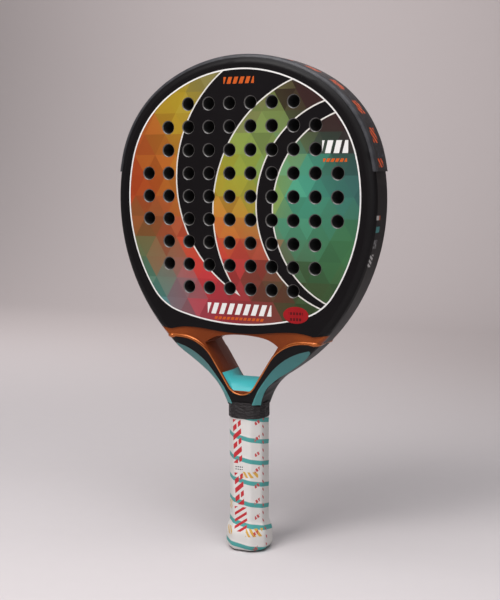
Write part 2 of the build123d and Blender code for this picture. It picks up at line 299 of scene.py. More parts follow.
@dataclass(frozen=True)
class Finish:
    """A plain finish: one colour, a little mottled, with a fine grain.

    The grain is given in metres of depth and features per metre.
    """

    name: str
    colour: Colour
    roughness: float = 0.5
    metallic: float = 0.0
    specular: float = 0.5
    coat: float = 0.0
    grain: float = 0.0
    grain_scale: float = 2500.0
    mottle: float = 0.12

    def make(self) -> bpy.types.Material:
        """Builds the material.

        Returns:
            The material.
        """
        shader = Shader(self.name)
        shader.feed("Metallic", self.metallic)
        shader.feed("Specular IOR Level", self.specular)
        shader.feed("Coat Weight", self.coat)
        shader.feed("Coat Roughness", 0.08)
        colour, roughness = self.paint(shader)
        shader.feed("Base Color", colour)
        shader.feed("Roughness", roughness)
        return shader.material

    def paint(self, shader: Shader) -> tuple[Sock, Sock]:
        """The colour and the roughness over the surface.

        Args:
            shader: the tree to add nodes to.

        Returns:
            Colour and roughness.
        """
        cloud = shader.noise(60, 4)
        if self.grain:
            shader.bump(shader.noise(self.grain_scale, 2), self.grain)
        colour = shader.mix(cloud * (2 * self.mottle), self.colour, (0.0, 0.0, 0.0))
        return colour, self.roughness + (cloud - 0.5) * 0.12


@dataclass(frozen=True)
class CarbonLacquer(Finish):
    """Black lacquered laminate; the cloth's twill just shows through the lacquer."""

    twill: float = 900.0  # threads per metre

    def marks(self, shader: Shader, colour: Sock) -> Sock:
        """Small neutral marks down the head's side walls: white bars, a grey and a teal dash, an orange dot.

        Args:
            shader: the tree to add nodes to.
            colour: the lacquer's colour.

        Returns:
            The colour with the marks.
        """
        x, y, z = shader.axes()
        angle = shader.maths("ARCTAN2", z - FACE_Z, abs(x))
        side = y.within(-13.0, -2.0) & (abs(x) > 100.0)
        bars = angle.within(-0.47, -0.385) & ((angle * 130 + y * 0.4) / 3.6 % 1.0 < 0.62)
        grey = angle.within(-0.345, -0.285) & y.within(-12.0, -4.0) & (shader.noise(600, 2) > 0.48)
        rows = (
            (bars & (y < -5.0), (0.50, 0.49, 0.48)),
            (grey, (0.20, 0.20, 0.205)),
            (angle.within(-0.236, -0.196) & y.within(-12.0, -3.0), (0.05, 0.22, 0.22)),
            (angle.within(-0.152, -0.122) & (y < -7.0), (0.50, 0.48, 0.47)),
            (angle.within(-0.152, -0.122) & (y > -6.0) & (y < -4.0), (0.60, 0.12, 0.03)),
        )
        for mask, tint in rows:
            colour = shader.mix(mask & side, colour, tint)
        return colour

    def paint(self, shader: Shader) -> tuple[Sock, Sock]:
        """Adds the twill to the plain finish.

        Args:
            shader: the tree to add nodes to.

        Returns:
            Colour and roughness.
        """
        x, y, z = shader.axes()
        period = 1000.0 / self.twill
        twill = (x + z + y) / period % 2.0 < 1.0
        cloud = shader.noise(45, 4)
        colour = shader.mix(twill * 0.5 + cloud * 0.3, self.colour, tuple(2.2 * part for part in self.colour))
        shader.bump(shader.noise(220, 2), 0.00006)
        return self.marks(shader, colour), self.roughness + (cloud - 0.5) * 0.14


@dataclass(frozen=True)
class Outline:
    """A closed line of tangent arcs, the same on both sides, from the top of the centre line down. Sizes in mm."""

    top: float = 113.1
    arcs: tuple[tuple[float, float], ...] = (
        (127.3, 33.27), (95.0, 42.97), (155.9, 46.59), (48.2, 39.98), (214.2, 17.19),
    )

    def walk(self) -> Iterator[tuple[float, float, float, float, float]]:
        """Each right-hand arc's centre x and z, radius, heading at its start and turn, in radians."""
        x, z, heading = 0.0, self.top, 0.0
        for radius, degrees in self.arcs:
            x, z = x - radius * sin(heading), z - radius * cos(heading)
            yield x, z, radius, heading, radians(degrees)
            heading += radians(degrees)
            x, z = x + radius * sin(heading), z + radius * cos(heading)

    def outside(self, x: Sock, z: Sock) -> Sock:
        """Distance from the line.

        Args:
            x: place across the face in mm.
            z: place up the face in mm.

        Returns:
            Distance in mm, negative inside the line.
        """
        across, distance = abs(x), None
        for cx, cz, radius, heading, _ in self.walk():
            dx, dz = across - cx, z - cz
            beyond = (dx * dx + dz * dz).root() - radius
            if distance is None:
                distance = beyond
                continue
            past = dx * cos(heading) - dz * sin(heading) > 0.0
            distance = distance + past * (beyond - distance)
        return distance


@dataclass(frozen=True)
class Crescent:
    """A tapering black wave across the face, between two circles: (x, z, radius) in mm."""

    outer: tuple[float, float, float]
    inner: tuple[float, float, float]


@dataclass(frozen=True)
class BarRow:
    """A row of slanted bars, the neutral stand-in for lettering. Sizes in mm."""

    x: tuple[float, float]
    z: tuple[float, float]
    pitch: float
    fill: float
    slant: float

    def mask(self, x: Sock, z: Sock) -> Sock:
        """1 on the bars."""
        inside = x.within(*self.x) & z.within(*self.z)
        return inside & ((x - z * self.slant) / self.pitch % 1.0 < self.fill)


@dataclass(frozen=True)
class FacePrint(Finish):
    """The face's print: a mosaic of facets in drifting colours, black waves and bar rows."""

    side: float = 21.7
    row: float = 18.8
    spread: float = 760.0
    border: Outline = Outline()
    anchors: tuple[tuple[float, float, Colour], ...] = (
        (-104, 58, (0.30, 0.060, 0.016)),
        (-100, 8, (0.36, 0.045, 0.013)),
        (-70, 28, (0.34, 0.130, 0.018)),
        (-64, 84, (0.33, 0.235, 0.018)),
        (-12, 94, (0.16, 0.150, 0.060)),
        (26, 44, (0.15, 0.210, 0.060)),
        (6, 14, (0.20, 0.290, 0.040)),
        (-14, 2, (0.36, 0.300, 0.022)),
        (-18, -26, (0.42, 0.090, 0.026)),
        (76, 80, (0.030, 0.012, 0.012)),
        (92, 48, (0.032, 0.020, 0.020)),
        (66, 10, (0.060, 0.330, 0.220)),
        (104, 6, (0.035, 0.100, 0.095)),
        (60, -26, (0.055, 0.190, 0.110)),
        (98, -44, (0.045, 0.140, 0.055)),
        (70, -88, (0.036, 0.060, 0.024)),
        (22, -72, (0.060, 0.045, 0.022)),
        (-64, -44, (0.40, 0.050, 0.024)),
        (-40, -66, (0.44, 0.024, 0.027)),
        (-6, -54, (0.44, 0.030, 0.034)),
        (-30, -96, (0.38, 0.028, 0.045)),
        (4, -94, (0.20, 0.030, 0.035)),
        (-94, -34, (0.150, 0.075, 0.022)),
        (-92, -62, (0.050, 0.140, 0.055)),
        (-82, -90, (0.035, 0.230, 0.230)),
        (-62, -102, (0.100, 0.100, 0.120)),
    )
    waves: tuple[Crescent, ...] = (
        Crescent((54.2, 16.5, 118.7), (96.8, -13.1, 124)),
        Crescent((112, -8, 96), (122, -12, 90)),
    )
    outline: float = 1.25
    white_bars: tuple[BarRow, ...] = (
        BarRow((-33, 31), (-107, -97), 8.0, 0.6, 0.35),
        BarRow((79, 103), (38, 49), 8.0, 0.64, 0.25),
    )
    orange_bars: tuple[BarRow, ...] = (
        BarRow((-26, 24), (-112, -109.4), 4.2, 0.7, 0.5),
        BarRow((-16, 14), (100, 106), 6.0, 0.62, 0.35),
        BarRow((80, 102), (30.5, 33.5), 4.2, 0.7, 0.5),
    )

    def field(self, shader: Shader, x: Sock, z: Sock) -> Sock:
        """The drifting colour at a place: each anchor's colour counts by its nearness.

        Args:
            shader: the tree to add nodes to.
            x: place across the face in mm.
            z: place up the face in mm.

        Returns:
            The colour.
        """
        colour: Sock | Colour = self.colour
        total: Term = 0.0
        for ax, az, tint in self.anchors:
            dx, dz = x - ax, z - az
            weight = shader.maths("EXPONENT", (dx * dx + dz * dz) / -self.spread)
            total = weight + total
            colour = shader.mix(weight / (total + 1e-9), colour, tint)
        return colour

    def mosaic(self, shader: Shader, x: Sock, z: Sock) -> Sock:
        """Triangular facets, each with nearly one colour of the field and its own brightness.

        Args:
            shader: the tree to add nodes to.
            x: place across the face in mm.
            z: place up the face in mm.

        Returns:
            The colour.
        """
        up = z / self.row
        along = x / self.side - up / 2
        half = (along % 1.0) + (up % 1.0) > 1.0
        a, b = along.floor() + (half + 1.0) / 3, up.floor() + (half + 1.0) / 3
        chance = {"Vector": shader.node("ShaderNodeCombineXYZ", values={0: a, 1: b})}
        dice = shader.node("ShaderNodeTexWhiteNoise", values=chance, output=1)
        first, second, third = (part * MM for part in shader.axes(dice))
        cx, cz = (a + b / 2) * self.side, b * self.row
        px = x * 0.3 + cx * 0.7 + (first - 0.5) * 16
        pz = z * 0.3 + cz * 0.7 + (second - 0.5) * 16
        bright = 0.80 + third * 0.36
        grey = shader.node("ShaderNodeCombineColor", values={0: bright, 1: bright, 2: bright})
        return shader.mix(1.0, self.field(shader, px, pz), grey, "MULTIPLY")

    def paint(self, shader: Shader) -> tuple[Sock, Sock]:
        """Lays the waves, their outlines, the bar rows and the border over the mosaic.

        Args:
            shader: the tree to add nodes to.

        Returns:
            Colour and roughness.
        """
        x, _, height = shader.axes()
        z = height - FACE_Z
        colour = self.mosaic(shader, x, z)
        cloud = shader.noise(40, 3)
        for wave in self.waves:
            (ax, az, ar), (bx, bz, br) = wave.outer, wave.inner
            outer = ((x - ax) * (x - ax) + (z - az) * (z - az)).root() - ar
            inner = br - ((x - bx) * (x - bx) + (z - bz) * (z - bz)).root()
            edge = outer | inner
            colour = shader.mix(edge < self.outline / 2, colour, (0.62, 0.60, 0.56))
            colour = shader.mix(edge < -self.outline / 2, colour, self.colour)
        for bars in self.white_bars:
            colour = shader.mix(bars.mask(x, z), colour, (0.72, 0.71, 0.69))
        for bars in self.orange_bars:
            colour = shader.mix(bars.mask(x, z), colour, (0.50, 0.090, 0.015))
        colour = shader.mix(self.border.outside(x, z) > 0.0, colour, self.colour)
        shader.bump(shader.noise(900, 2), 0.00002)
        return colour, self.roughness + (cloud - 0.5) * 0.1


@dataclass(frozen=True)
class LabelPrint(Finish):
    """Red label with two rows of dark bars."""

    rows: tuple[BarRow, ...] = (
        BarRow((48.0, 61.6), (102.2, 104.6), 2.9, 0.66, 0.0),
        BarRow((48.8, 60.8), (96.8, 99.4), 2.9, 0.66, 0.0),
    )
    drop_z: float = 122.2  # height that the rows are counted from

    def paint(self, shader: Shader) -> tuple[Sock, Sock]:
        """Prints the bars on the plain finish.

        Args:
            shader: the tree to add nodes to.

        Returns:
            Colour and roughness.
        """
        colour, roughness = super().paint(shader)
        x, _, z = shader.axes()
        for row in self.rows:
            colour = shader.mix(row.mask(x, z - self.drop_z) * 0.75, colour, (0.02, 0.004, 0.005))
        return colour, roughness


@dataclass(frozen=True)
class PaperSweep(Finish):
    """Pale studio paper with painted shade: coloured darker far behind the object."""

    # colour of the painted shade far behind the object
    wall: Colour = (0.46, 0.414, 0.411)

    def paint(self, shader: Shader) -> tuple[Sock, Sock]:
        """Paints shade into the plain finish with distance behind the object.

        Args:
            shader: the tree to add nodes to.

        Returns:
            Colour and roughness.
        """
        colour, roughness = super().paint(shader)
        _, y, _ = shader.axes()
        return shader.mix(y.ease(150.0, 1300.0), colour, self.wall), roughness


@dataclass(frozen=True)
class CopperLacquer(Finish):
    """Metallic copper lacquer with painted shade down the inside of the opening and a painted highlight towards the
    tips.
    """

    # colour of the painted shade deep inside the opening
    deep: Colour = (0.15, 0.024, 0.008)
    # colour of the painted highlight towards the tips
    bright: Colour = (0.40, 0.085, 0.014)

    def paint(self, shader: Shader) -> tuple[Sock, Sock]:
        """Paints shade into the colour with depth into the opening, paints a highlight towards the tips and scatters
        fine flakes.

        Args:
            shader: the tree to add nodes to.

        Returns:
            Colour and roughness.
        """
        x, y, _ = shader.axes()
        flake = shader.noise(7000, 1)
        cloud = shader.noise(70, 3)
        # painted shade: darker with depth into the opening, away from the face planes
        depth = (19.0 - abs(y)).ease(1.5, 9.0)
        # painted highlight: brighter towards the tips
        painted_tip_highlight = abs(x).ease(34.0, 74.0) * 0.55
        colour = shader.mix(painted_tip_highlight, self.colour, self.bright)
        colour = shader.mix(depth * 0.85, colour, self.deep)
        colour = shader.mix(flake.ease(0.45, 0.75) * 0.25, colour, (0.60, 0.20, 0.05))
        colour = shader.mix(cloud * 0.25, colour, (0.05, 0.012, 0.005))
        shader.bump(flake, 0.00002)
        return colour, self.roughness + (cloud - 0.5) * 0.15


@dataclass(frozen=True)
class MouldedTeal(Finish):
    """Moulded teal piece, a little paler towards its outer edge."""

    pale: Colour = (0.16, 0.42, 0.40)
    fade: tuple[float, float] = (140.0, 205.0)

    def paint(self, shader: Shader) -> tuple[Sock, Sock]:
        """Fades the colour with height and adds a fine moulded grain.

        Args:
            shader: the tree to add nodes to.

        Returns:
            Colour and roughness.
        """
        _, _, z = shader.axes()
        cloud = shader.noise(80, 3)
        colour = shader.mix(z.ease(*self.fade) * 0.6 + cloud * 0.2, self.pale, self.colour)
        shader.bump(shader.noise(3000, 2), 0.00003)
        return colour, self.roughness + (cloud - 0.5) * 0.1


@dataclass(frozen=True)
class BumperStrip(Finish):
    """Black bumper with slanted orange dashes, worn bluish flecks between them and a painted highlight along its
    rim.
    """

    dash: Colour = (0.80, 0.10, 0.010)
    group: float = 0.213

    def paint(self, shader: Shader) -> tuple[Sock, Sock]:
        """Places the groups of dashes by the angle round the head.

        Args:
            shader: the tree to add nodes to.

        Returns:
            Colour and roughness.
        """
        x, y, height = shader.axes()
        angle = shader.maths("ARCTAN2", height - FACE_Z, abs(x))
        cloud = shader.noise(120, 4)
        stroke = (angle * 128 + y * 1.1) / 7.6 % 1.0 < 0.56
        grouped = (angle / self.group + 0.283) % 1.0 < 0.5
        dash = stroke & grouped & angle.within(0.2, 1.25) & y.within(-8.0, 4.0)
        fleck = (shader.noise(420, 4) > 0.6) & y.within(-9.5, 8.0) & ~grouped & angle.within(0.2, 1.3)
        worn = shader.noise(500, 3) > 0.38
        colour = shader.mix(cloud * 0.4, self.colour, (0.016, 0.016, 0.018))
        colour = shader.mix(fleck * 0.8, colour, (0.050, 0.065, 0.095))
        colour = shader.mix(dash & worn, colour, self.dash)
        # painted highlight: paler grey along the strip's front and rear rims, where the shoulder catches the light
        colour = shader.mix(abs(y).ease(11.4, 12.6) * (cloud * 1.4), colour, (0.060, 0.060, 0.066))
        shader.bump(shader.noise(2600, 3), 0.00008)
        return colour, self.roughness + (cloud - 0.5) * 0.2


@dataclass(frozen=True)
class GripWrap(Finish):
    """White overgrip with a teal edge stripe, a column of red bars and small dashes.

    Its own map gives turns round the handle in U and turns of the spiral in V.
    """

    stripe: tuple[float, float] = (0.0, 0.205)
    teal: Colour = (0.06, 0.33, 0.31)
    red: Colour = (0.48, 0.012, 0.02)
    gold: Colour = (0.62, 0.36, 0.05)

    def paint(self, shader: Shader) -> tuple[Sock, Sock]:
        """Prints the marks on the wrap, paints shade along the edges of its turns and presses its fine perforation.

        Args:
            shader: the tree to add nodes to.

        Returns:
            Colour and roughness.
        """
        uv = shader.coords("UV")
        spiral = shader.node("ShaderNodeSeparateXYZ", values={0: uv}, output=1)
        across = spiral % 1.0
        x, y, z = shader.axes()
        cloud = shader.noise(150, 4)
        front = y < 0.0
        colour = shader.mix(cloud * 0.35, self.colour, (0.52, 0.50, 0.47))
        # painted shade: each turn of the wrap is darkened towards its edges, where it meets the lap of the next turn
        off_seam_mask = across.ease(0.0, 0.03) * ~across.ease(0.965, 1.0)
        colour = shader.mix(~off_seam_mask * 0.45, colour, (0.33, 0.31, 0.28))
        colour = shader.mix(across.within(*self.stripe), colour, self.teal)
        drift = x + (z - 80.0) * 0.045
        column = drift.within(-8.0, 0.8) & (z.within(83.0, 124.0) | z.within(44.0, 74.0))
        column = column & ((z - x * 0.9) / 8.6 % 1.0 < 0.6)
        gaps = ((drift + 3.6) % 9.0).within(0.0, 1.3) & ((z - x * 0.9) / 17.2 % 1.0 < 0.5)
        low = drift.within(-9.5, 3.0) & z.within(19.0, 42.0) & ((z - x * 0.7) / 6.4 % 1.0 < 0.45)
        gold_high = x.within(0.5, 14.0) & z.within(70.0, 75.5) & ((x + z * 0.6) / 4.6 % 1.0 < 0.55)
        gold_left = x.within(-15.5, -11.0) & z.within(38.0, 47.0) & ((x + z * 0.8) / 4.0 % 1.0 < 0.5)
        gold_low = (x.within(-16.0, -9.0) | x.within(5.0, 18.0)) & z.within(15.0, 22.5)
        gold_low = gold_low & ((x + z * 0.6) / 4.2 % 1.0 < 0.55)
        grey = x.within(-7.0, 1.0) & z.within(77.0, 80.5) & ((z % 2.4) < 1.1) & ((x % 2.2) < 1.5)
        flake = x.within(11.6, 15.0) & ((z - x * 0.8 + 9.0) % 14.8 < 3.6) & (((x + z * 0.4) % 2.4) < 1.7)
        sliver = (x > 15.8) & y.within(-7.0, -4.6) & ((z + y * 0.9) % 7.4 < 2.4)
        for mask, tint in (
            (low | column & ~gaps, self.red),
            (gold_high | gold_left | gold_low, self.gold),
            (grey, (0.06, 0.06, 0.075)),
            (flake | sliver, (0.50, 0.06, 0.06)),
        ):
            colour = shader.mix(mask & front, colour, tint)
        pits = shader.node("ShaderNodeTexVoronoi", {"feature": "F1"}, {"Vector": shader.coords(), "Scale": 900.0})
        shader.bump(pits * 0.4 + shader.noise(300, 4), 0.0001)
        return colour, self.roughness + (cloud - 0.5) * 0.1


@dataclass(frozen=True)
class PressedRubber(Finish):
    """Stretched dark rubber with shallow wrinkles round it, their raised folds given a painted highlight."""

    def paint(self, shader: Shader) -> tuple[Sock, Sock]:
        """Wrinkles run mostly round the handle.

        Args:
            shader: the tree to add nodes to.

        Returns:
            Colour and roughness.
        """
        squash = shader.node(
            "ShaderNodeMapping", values={"Vector": shader.coords(), "Scale": (1.0, 1.0, 3.5)}
        )
        folds = shader.noise(140, 3, vector=squash)
        shader.bump(folds * 3.0 + shader.noise(1800, 2) * 0.12, 0.0011)
        # painted highlight: the raised folds are coloured paler than the rubber
        colour = shader.mix(folds, self.colour, tuple(1.7 * part for part in self.colour))
        return colour, self.roughness + (folds - 0.5) * 0.25


# ---------------------------------------------------------------- modelling


class Piece:
    """A mesh being modelled. Its operators act on this object alone."""

    def __init__(self, obj: bpy.types.Object, name: str) -> None:
        """Takes over an object and names it and its mesh."""
        self.obj = obj
        obj.name = obj.data.name = name

    @staticmethod
    def clear() -> None:
        """Deselects everything."""
        if bpy.context.mode != "OBJECT":
            bpy.ops.object.mode_set(mode="OBJECT")
        bpy.ops.object.select_all(action="DESELECT")

    @classmethod
    def copied(cls, node: str, name: str) -> "Piece":
        """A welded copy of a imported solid's mesh, as a start for a finer piece.

        Args:
            node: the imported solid.
            name: the new piece's name.

        Returns:
            The piece.
        """
        obj = placed(name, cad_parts[node].data.copy())
        obj.data.materials.clear()
        piece = cls(obj, name)
        with piece.editing():
            bpy.ops.mesh.select_all(action="SELECT")
            bpy.ops.mesh.remove_doubles(threshold=0.000002)
            bpy.ops.mesh.dissolve_limited(angle_limit=radians(0.4))
        return piece

    @classmethod
    def added(cls, name: str, operator: Callable[..., object], **settings: object) -> "Piece":
        """A new primitive, added by one of Blender's operators with its settings.

        Args:
            name: the piece's name.
            operator: adds the primitive.
            settings: its size and place.

        Returns:
            The piece.
        """
        cls.clear()
        operator(**settings)
        return cls(bpy.context.active_object, name)

    def take(self) -> None:
        """Makes this the only selected object, and the active one."""
        self.clear()
        self.obj.select_set(True)
        bpy.context.view_layer.objects.active = self.obj

    @contextmanager
    def editing(self, mode: str = "VERT") -> Iterator[None]:
        """Edit mode on this piece, with a select mode.

        Args:
            mode: VERT, EDGE or FACE.
        """
        self.take()
        bpy.ops.object.mode_set(mode="EDIT")
        bpy.ops.mesh.select_mode(type=mode)
        yield
        bpy.ops.object.mode_set(mode="OBJECT")

    def pick(self, test: Callable[[bpy.types.MeshPolygon], bool]) -> None:
        """Selects the faces that pass a test, from object mode.

        Args:
            test: says yes to a wanted face.
        """
        mesh = self.obj.data
        for part in (mesh.vertices, mesh.edges):
            part.foreach_set("select", [False] * len(part))
        mesh.polygons.foreach_set("select", [test(face) for face in mesh.polygons])

    def modify(self, kind: str, **settings: object) -> "Piece":
        """Adds a modifier, sets it and applies it.

        Args:
            kind: the modifier's type.
            settings: its properties.

        Returns:
            This piece.
        """
        self.take()
        modifier = self.obj.modifiers.new(kind.title(), kind)
        for key, value in settings.items():
            setattr(modifier, key, value)
        bpy.ops.object.modifier_apply(modifier=modifier.name)
        return self

    def seat(self) -> "Piece":
        """Puts the object's place, turn and scale into its mesh.

        Returns:
            This piece.
        """
        self.take()
        bpy.ops.object.transform_apply(location=True, rotation=True, scale=True)
        return self

    def smooth(self, angle: float = 35.0) -> "Piece":
        """Smooth shading up to an angle in degrees, flat faces kept flat.

        Args:
            angle: the angle in degrees.

        Returns:
            This piece.
        """
        self.take()
        bpy.ops.object.shade_smooth_by_angle(angle=radians(angle))
        return self.modify("WEIGHTED_NORMAL", keep_sharp=True)

    def outward(self) -> "Piece":
        """Recalculates the normals outwards."""
        with self.editing("FACE"):
            bpy.ops.mesh.select_all(action="SELECT")
            bpy.ops.mesh.normals_make_consistent(inside=False)
        return self

    def cut(self, tool: "Piece") -> "Piece":
        """Cuts another piece's shape out of this one; the tool is kept."""
        return self.modify("BOOLEAN", operation="DIFFERENCE", solver="EXACT", object=tool.obj)

    def trim(self, height: float, keep_top: bool, close: bool = True) -> "Piece":
        """Cuts the piece level.

        Args:
            height: the cut's height in mm.
            keep_top: whether the part above it stays, or the part below.
            close: whether the cut is filled.

        Returns:
            This piece.
        """
        with self.editing():
            bpy.ops.mesh.select_all(action="SELECT")
            bpy.ops.mesh.bisect(
                plane_co=(0, 0, height * MM), plane_no=(0, 0, 1), use_fill=close,
                clear_inner=keep_top, clear_outer=not keep_top,
            )
        return self

    def drop(self) -> None:
        """Throws this piece away."""
        bpy.data.objects.remove(self.obj)

    def dress(self, *materials: bpy.types.Material) -> "Piece":
        """Gives the piece its materials, in slot order."""
        for material in materials:
            self.obj.data.materials.append(material)
        return self

    def settle(self, slot: str, *nodes: str) -> bpy.types.Object:
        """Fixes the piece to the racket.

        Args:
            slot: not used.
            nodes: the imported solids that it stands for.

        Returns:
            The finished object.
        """
        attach(self.obj, "root")
        if nodes:
            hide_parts(*nodes)
        log.info("%s: %d faces", self.obj.name, len(self.obj.data.polygons))
        return self.obj


def spun_line(name: str, line: Outline, middle: tuple[float, float], width: float) -> Piece:
    """A flat ribbon along an outline in the face's plane: an edge spun round each arc's centre.

    Args:
        name: the piece's name.
        line: the outline that the ribbon follows, down its right side.
        middle: depth and height of the outline's middle in mm.
        width: the ribbon's width in mm.

    Returns:
        The right half of the ribbon.
    """
    y, z = middle[0] * MM, middle[1] * MM
    half, top = width * MM / 2, z + line.top * MM
    piece = Piece.added(name, bpy.ops.mesh.primitive_plane_add, size=1.0)
    with piece.editing():
        bpy.ops.mesh.select_all(action="SELECT")
        bpy.ops.mesh.merge(type="CENTER")
        bpy.ops.transform.translate(value=(0, y, top - half))
        bpy.ops.mesh.extrude_region_move(TRANSFORM_OT_translate={"value": (0, 0, 2 * half)})
        bpy.ops.mesh.select_all(action="SELECT")
        for x, dz, radius, _, turn in line.walk():
            steps = max(4, round(turn * radius / 2.5))
            centre = (x * MM, y, z + dz * MM)
            bpy.ops.mesh.spin(steps=steps, angle=-turn, center=centre, axis=(0, 1, 0))
    return piece


# ---------------------------------------------------------------- sub-assemblies


@dataclass(frozen=True)
class Lamp:
    """A soft square light: its place, what it is turned to, its size in metres, its power and its tint."""

    name: str
    place: tuple[float, float, float]
    aim: tuple[float, float, float]
    size: float
    power: float
    tint: Colour

    def hang(self) -> None:
        """Adds the light."""
        data = bpy.data.lights.new(self.name, "AREA")
        data.shape, data.size, data.energy, data.color = "SQUARE", self.size, self.power, self.tint
        light = placed(self.name, data)
        light.location = self.place
        light.rotation_euler = (Vector(self.aim) - light.location).to_track_quat("-Z", "Y").to_euler()


@dataclass
class Studio:
    """Camera, lights and a plain pale sweep. Metres and degrees."""

    eye: tuple[float, float, float] = (0.4520, -0.9581, 0.3533)
    pitch: float = 83.54
    yaw: float = 25.2
    roll: float = 0.1
    lens: float = 69.46
    floor: tuple[float, float] = (9.0, 5.0)
    wall_y: float = 2.4
    wall_height: float = 3.0
    bend: float = 0.9
    sky: Colour = (0.78, 0.77, 0.80)
    sky_strength: float = 0.14
    lamps: tuple[Lamp, ...] = (
        Lamp("key", (-0.35, -1.1, 1.35), (0, 0, 0.25), 0.7, 15.0, (1.0, 0.97, 0.96)),
        Lamp("fill", (1.2, -1.5, 0.9), (0, 0, 0.25), 1.2, 8.0, (0.98, 0.98, 1.0)),
        Lamp("top", (0.1, -0.45, 1.5), (0, -0.25, 0), 1.2, 18.0, (1.0, 0.99, 1.0)),
        Lamp("wall", (-0.95, 0.9, 1.4), (-1.3, 2.4, 0.45), 1.3, 24.0, (1.0, 0.99, 1.0)),
    )

    def camera(self) -> None:
        """Sets the camera."""
        data = bpy.data.cameras.new("camera")
        data.sensor_fit, data.sensor_height, data.lens = "VERTICAL", 36.0, self.lens
        camera = placed("camera", data)
        camera.location = self.eye
        camera.rotation_euler = Euler((radians(self.pitch), radians(self.roll), radians(self.yaw)))
        bpy.context.scene.camera = camera

    def sweep(self) -> None:
        """Lays the floor and bends it up into the wall."""
        sweep = Piece.added("backdrop", bpy.ops.mesh.primitive_plane_add, size=1.0)
        rear = self.wall_y - self.bend
        with sweep.editing("EDGE"):
            bpy.ops.mesh.select_all(action="SELECT")
            bpy.ops.transform.resize(value=(*self.floor, 1.0))
            bpy.ops.transform.translate(value=(0, rear - self.floor[1] / 2, -0.0005))
        for edge in sweep.obj.data.edges:
            ends = [sweep.obj.data.vertices[i].co.y for i in edge.vertices]
            edge.select = min(ends) > rear - 0.01
        for vertex in sweep.obj.data.vertices:
            vertex.select = vertex.co.y > rear - 0.01
        for face in sweep.obj.data.polygons:
            face.select = False
        with sweep.editing("EDGE"):
            bpy.ops.mesh.spin(steps=24, angle=radians(-90), center=(0, rear, self.bend), axis=(1, 0, 0))
            bpy.ops.mesh.extrude_region_move(TRANSFORM_OT_translate={"value": (0, 0, self.wall_height)})
        sweep.take()
        bpy.ops.object.shade_smooth()
        sweep.dress(PaperSweep("pale_paper", (0.63, 0.595, 0.603), roughness=0.95, specular=0.1, mottle=0.01).make())
        sweep.obj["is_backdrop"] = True

    def build(self) -> None:
        """Sets up everything round the racket."""
        self.camera()
        self.sweep()
        for lamp in self.lamps:
            lamp.hang()
        world = bpy.data.worlds.new("studio")
        world.use_nodes = True
        background = world.node_tree.nodes["Background"]
        background.inputs[0].default_value = (*self.sky, 1)
        background.inputs[1].default_value = self.sky_strength
        bpy.context.scene.world = world
        bpy.context.scene.view_settings.view_transform = "Standard"
        log.info("studio: camera, %d lights, backdrop", len(self.lamps))


